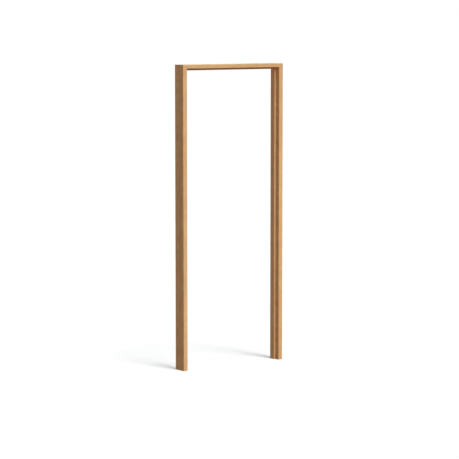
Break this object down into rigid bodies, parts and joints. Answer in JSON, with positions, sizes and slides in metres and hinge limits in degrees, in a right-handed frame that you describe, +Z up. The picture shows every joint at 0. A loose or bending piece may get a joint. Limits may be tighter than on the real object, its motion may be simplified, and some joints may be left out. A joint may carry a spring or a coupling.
{
  "type": "wooden door frame",
  "caption": "Three-sided wooden door lining with mitred corners and planted stop strips that leave a rebate for the leaf.",
  "frame": {"origin": "middle of the footprint, on the floor under the feet", "axes": "+X across the opening from the left jamb to the right jamb as seen from the leaf's side, +Z up, -Y out of the face that the leaf closes on"},
  "size_m": [0.832, 0.1, 2.076],
  "materials": {
    "oak": "clear satin",
    "beech": "pressed, unfinished",
    "steel": "zinc plated"
  },
  "bodies": {
    "root": {"head": "oak", "head_stop": "oak", "head_stop_brad_1": "steel", "head_stop_brad_2": "steel", "head_stop_brad_3": "steel", "left_back_screw": "steel", "left_biscuit": "beech", "left_front_screw": "steel", "left_jamb": "oak", "left_stop": "oak", "left_stop_brad_1": "steel", "left_stop_brad_2": "steel", "left_stop_brad_3": "steel", "left_stop_brad_4": "steel", "left_stop_brad_5": "steel", "left_stop_brad_6": "steel", "left_stop_brad_7": "steel", "right_back_screw": "steel", "right_biscuit": "beech", "right_front_screw": "steel", "right_jamb": "oak", "right_stop": "oak", "right_stop_brad_1": "steel", "right_stop_brad_2": "steel", "right_stop_brad_3": "steel", "right_stop_brad_4": "steel", "right_stop_brad_5": "steel", "right_stop_brad_6": "steel", "right_stop_brad_7": "steel"}
  },
  "joints": []
}
